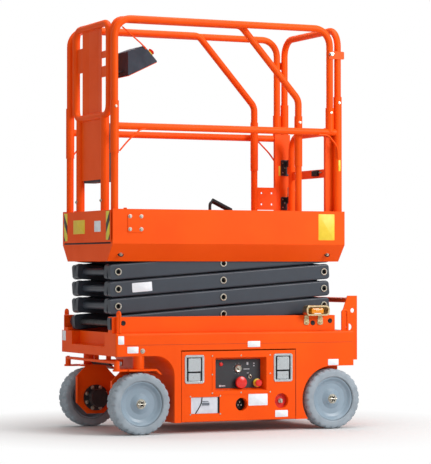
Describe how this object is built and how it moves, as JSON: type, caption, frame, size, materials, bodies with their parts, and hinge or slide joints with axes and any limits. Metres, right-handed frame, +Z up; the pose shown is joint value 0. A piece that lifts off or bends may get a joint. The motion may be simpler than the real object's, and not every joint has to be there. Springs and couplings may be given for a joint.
{
  "type": "self-propelled scissor lift",
  "caption": "Compact electric scissor lift: steered chassis on solid tyres, folded scissor stack, guarded platform with roll-out deck, entry gate and slide-out side trays.",
  "frame": {"origin": "on the floor under the middle of the machine's overall length and width", "axes": "+Z up, +X to the rear (ladder and gate), -X to the front (steered wheels), -Y to the side with the ground controls"},
  "size_m": [1.387, 0.76, 2.0635],
  "materials": {
    "orange_paint": "satin powder coat",
    "slate_paint": "satin powder coat",
    "rim_paint": "satin paint",
    "grey_rubber": "non-marking rubber",
    "black_plastic": "moulded",
    "dark_box": "textured paint",
    "zinc": "zinc plated",
    "steel": "hard chrome",
    "amber": "clear amber"
  },
  "bodies": {
    "chassis": {"chassis_body": "orange_paint", "chassis_top_frame": "orange_paint", "side_beams": "orange_paint", "tie_down_loops": "orange_paint", "ladder": "orange_paint", "beacon": "amber", "beacon_guard": "zinc", "steering_cylinder": "dark_box"},
    "battery_tray": {"battery_tray": "orange_paint", "battery_pack": "black_plastic", "battery_tray_latches": "zinc"},
    "hydraulic_tray": {"hydraulic_tray": "orange_paint", "hydraulic_unit": "dark_box", "hydraulic_tray_latches": "zinc", "ground_controls": "black_plastic"},
    "knuckle_near": {"knuckle_near": "orange_paint", "drive_motor_near": "zinc"},
    "knuckle_far": {"knuckle_far": "orange_paint", "drive_motor_far": "zinc"},
    "tie_bar": {"tie_bar": "orange_paint"},
    "steering_rod": {"steering_rod": "steel"},
    "lift_cylinder": {"lift_cylinder": "dark_box"},
    "lift_rod": {"lift_rod": "steel"},
    "platform": {"platform_frame": "orange_paint", "toe_boards": "orange_paint", "lower_rails": "orange_paint", "upper_side_rails": "orange_paint", "rear_upper_frame": "orange_paint", "gate_hinges": "black_plastic"},
    "extension": {"extension_deck": "orange_paint", "extension_side_rails": "orange_paint", "extension_front_frame": "orange_paint", "front_panels": "orange_paint", "document_box": "dark_box", "control_box": "black_plastic", "accessory_plate": "orange_paint", "extension_lock_lever": "black_plastic"},
    "gate": {"gate": "orange_paint"},
    "wheel_front_near": {"tyre_front_near": "grey_rubber", "rim_front_near": "rim_paint"},
    "wheel_front_far": {"tyre_front_far": "grey_rubber", "rim_front_far": "rim_paint"},
    "wheel_rear_near": {"tyre_rear_near": "grey_rubber", "rim_rear_near": "rim_paint"},
    "wheel_rear_far": {"tyre_rear_far": "grey_rubber", "rim_rear_far": "rim_paint"},
    "inner_arms_1": {"inner_arms_1": "slate_paint"},
    "outer_arms_1": {"outer_arms_1": "slate_paint"},
    "inner_arms_2": {"inner_arms_2": "slate_paint"},
    "outer_arms_2": {"outer_arms_2": "slate_paint"},
    "inner_arms_3": {"inner_arms_3": "slate_paint"},
    "outer_arms_3": {"outer_arms_3": "slate_paint"},
    "inner_arms_4": {"inner_arms_4": "slate_paint"},
    "outer_arms_4": {"outer_arms_4": "slate_paint"}
  },
  "joints": [
    {"name": "lift", "type": "hinge", "parent": "chassis", "child": "inner_arms_1", "pos_m": [0.522, 0, 0.544], "axis": [0, 1, 0], "range_deg": [0, 56]},
    {"name": "outer_arms_1_pivot", "type": "hinge", "parent": "inner_arms_1", "child": "outer_arms_1", "pos_m": [-0.04876, 0, 0.58661], "axis": [0, 1, 0], "range_deg": [-112, 0]},
    {"name": "outer_arms_2_pivot", "type": "hinge", "parent": "inner_arms_1", "child": "outer_arms_2", "pos_m": [-0.61952, 0, 0.62923], "axis": [0, 1, 0], "range_deg": [-112, 0]},
    {"name": "inner_arms_2_pivot", "type": "hinge", "parent": "outer_arms_2", "child": "inner_arms_2", "pos_m": [-0.04876, 0, 0.67185], "axis": [0, 1, 0], "range_deg": [0, 112]},
    {"name": "inner_arms_3_pivot", "type": "hinge", "parent": "outer_arms_2", "child": "inner_arms_3", "pos_m": [0.522, 0, 0.71446], "axis": [0, 1, 0], "range_deg": [0, 112]},
    {"name": "outer_arms_3_pivot", "type": "hinge", "parent": "inner_arms_3", "child": "outer_arms_3", "pos_m": [-0.04876, 0, 0.75708], "axis": [0, 1, 0], "range_deg": [-112, 0]},
    {"name": "outer_arms_4_pivot", "type": "hinge", "parent": "inner_arms_3", "child": "outer_arms_4", "pos_m": [-0.61952, 0, 0.79969], "axis": [0, 1, 0], "range_deg": [-112, 0]},
    {"name": "inner_arms_4_pivot", "type": "hinge", "parent": "outer_arms_4", "child": "inner_arms_4", "pos_m": [-0.04876, 0, 0.84231], "axis": [0, 1, 0], "range_deg": [0, 112]},
    {"name": "platform_pivot", "type": "hinge", "parent": "outer_arms_4", "child": "platform", "pos_m": [0.522, 0, 0.88492], "axis": [0, 1, 0], "range_deg": [0, 56]},
    {"name": "lift_cylinder_swing", "type": "hinge", "parent": "inner_arms_1", "child": "lift_cylinder", "pos_m": [-0.5201, 0, 0.62181], "axis": [0, 1, 0], "range_deg": [-110, 0]},
    {"name": "lift_cylinder_stroke", "type": "slide", "parent": "lift_cylinder", "child": "lift_rod", "axis": [0.9832, 0, 0.1824], "range_m": [0, 0.3012]},
    {"name": "steer", "type": "hinge", "parent": "chassis", "child": "knuckle_near", "pos_m": [-0.541, -0.3325, 0.35], "axis": [0, 0, 1], "range_deg": [-65, 65]},
    {"name": "steer_far", "type": "hinge", "parent": "chassis", "child": "knuckle_far", "pos_m": [-0.541, 0.3325, 0.35], "axis": [0, 0, 1], "range_deg": [-65, 65]},
    {"name": "tie_bar_pivot", "type": "hinge", "parent": "knuckle_near", "child": "tie_bar", "pos_m": [-0.656, -0.3325, 0.35], "axis": [0, 0, 1], "range_deg": [-65, 65]},
    {"name": "steering_stroke", "type": "slide", "parent": "chassis", "child": "steering_rod", "axis": [0, 1, 0], "range_m": [-0.1045, 0.1045]},
    {"name": "spin_front_near", "type": "hinge", "parent": "knuckle_near", "child": "wheel_front_near", "pos_m": [-0.541, -0.3325, 0.1525], "axis": [0, 1, 0], "continuous": true},
    {"name": "spin_front_far", "type": "hinge", "parent": "knuckle_far", "child": "wheel_front_far", "pos_m": [-0.541, 0.3325, 0.1525], "axis": [0, 1, 0], "continuous": true},
    {"name": "spin_rear_near", "type": "hinge", "parent": "chassis", "child": "wheel_rear_near", "pos_m": [0.5155, -0.3325, 0.1525], "axis": [0, 1, 0], "continuous": true},
    {"name": "spin_rear_far", "type": "hinge", "parent": "chassis", "child": "wheel_rear_far", "pos_m": [0.5155, 0.3325, 0.1525], "axis": [0, 1, 0], "continuous": true},
    {"name": "battery_tray_slide", "type": "slide", "parent": "chassis", "child": "battery_tray", "axis": [0, 1, 0], "range_m": [0, 0.36]},
    {"name": "hydraulic_tray_slide", "type": "slide", "parent": "chassis", "child": "hydraulic_tray", "axis": [0, -1, 0], "range_m": [0, 0.36]},
    {"name": "extension_roll_out", "type": "slide", "parent": "platform", "child": "extension", "axis": [-1, 0, 0], "range_m": [0, 0.6]},
    {"name": "gate_swing", "type": "hinge", "parent": "platform", "child": "gate", "pos_m": [0.58, 0.248, 1.2], "axis": [0, 0, 1], "range_deg": [-80, 0], "stiffness_Nm_per_rad": 3, "springref_deg": 8.59}
  ],
  "couplings": [
    {"joint": "outer_arms_1_pivot", "follows": "lift", "ratio": -2},
    {"joint": "outer_arms_2_pivot", "follows": "lift", "ratio": -2},
    {"joint": "inner_arms_2_pivot", "follows": "lift", "ratio": 2},
    {"joint": "inner_arms_3_pivot", "follows": "lift", "ratio": 2},
    {"joint": "outer_arms_3_pivot", "follows": "lift", "ratio": -2},
    {"joint": "outer_arms_4_pivot", "follows": "lift", "ratio": -2},
    {"joint": "inner_arms_4_pivot", "follows": "lift", "ratio": 2},
    {"joint": "platform_pivot", "follows": "lift", "ratio": 1},
    {"joint": "lift_cylinder_swing", "follows": "lift", "ratio": -1.9636},
    {"joint": "lift_cylinder_stroke", "follows": "lift", "m_per_rad": 0.3079},
    {"joint": "steer_far", "follows": "steer", "ratio": 1},
    {"joint": "tie_bar_pivot", "follows": "steer", "ratio": -1},
    {"joint": "steering_stroke", "follows": "steer", "m_per_rad": -0.091872}
  ]
}
